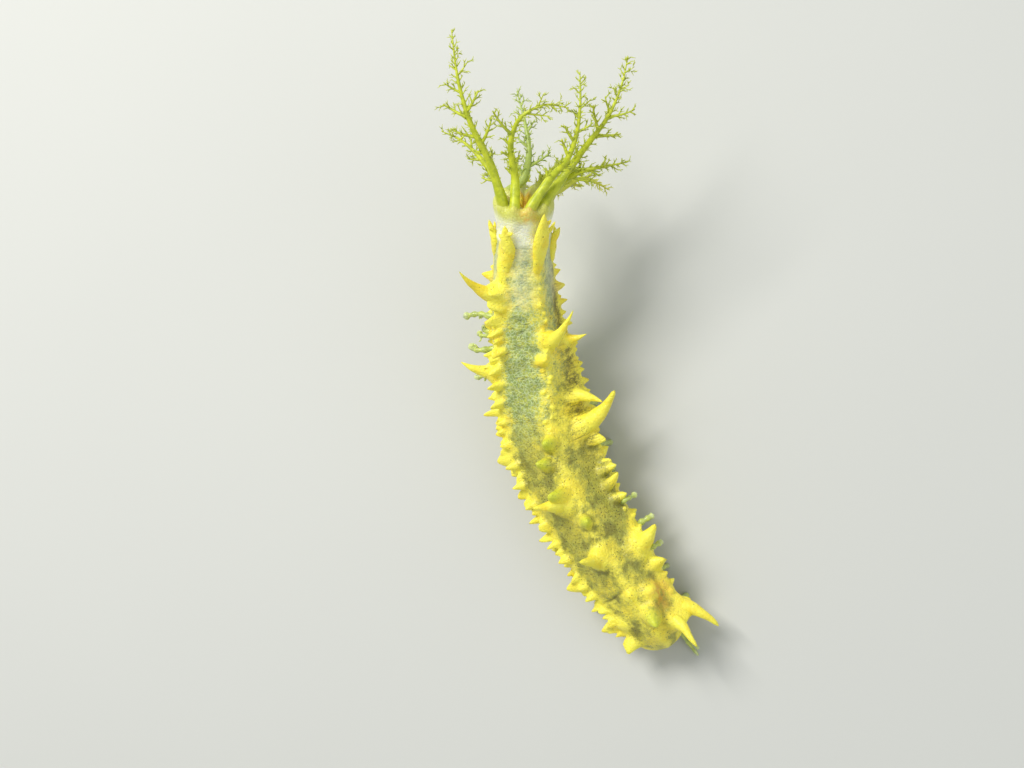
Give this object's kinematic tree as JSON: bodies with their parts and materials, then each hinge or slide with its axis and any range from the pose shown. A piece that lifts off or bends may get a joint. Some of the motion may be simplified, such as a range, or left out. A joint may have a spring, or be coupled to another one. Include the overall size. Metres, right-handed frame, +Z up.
{
  "type": "sea cucumber",
  "caption": "Yellow spiny sea cucumber resting on its tube feet, front end raised, with a crown of branching feeding tentacles.",
  "frame": {"origin": "middle of the animal's box, on the plane that its tube feet stand on", "axes": "+Y towards the mouth end, +Z up, +X towards the animal's right side"},
  "size_m": [0.033, 0.0768, 0.0299],
  "materials": {
    "skin": "satin",
    "collar": "satin",
    "tentacle": "satin"
  },
  "bodies": {
    "root": {"body_tail": "skin", "body_rear": "skin", "body_middle": "skin", "body_fore": "skin", "body_neck": "skin", "mouth_collar": "collar", "tentacle_01": "tentacle", "tentacle_02": "tentacle", "tentacle_03": "tentacle", "tentacle_04": "tentacle", "tentacle_05": "tentacle", "tentacle_06": "tentacle", "tentacle_07": "tentacle", "tentacle_08": "tentacle", "tentacle_09": "tentacle", "tentacle_10": "tentacle"}
  },
  "joints": []
}
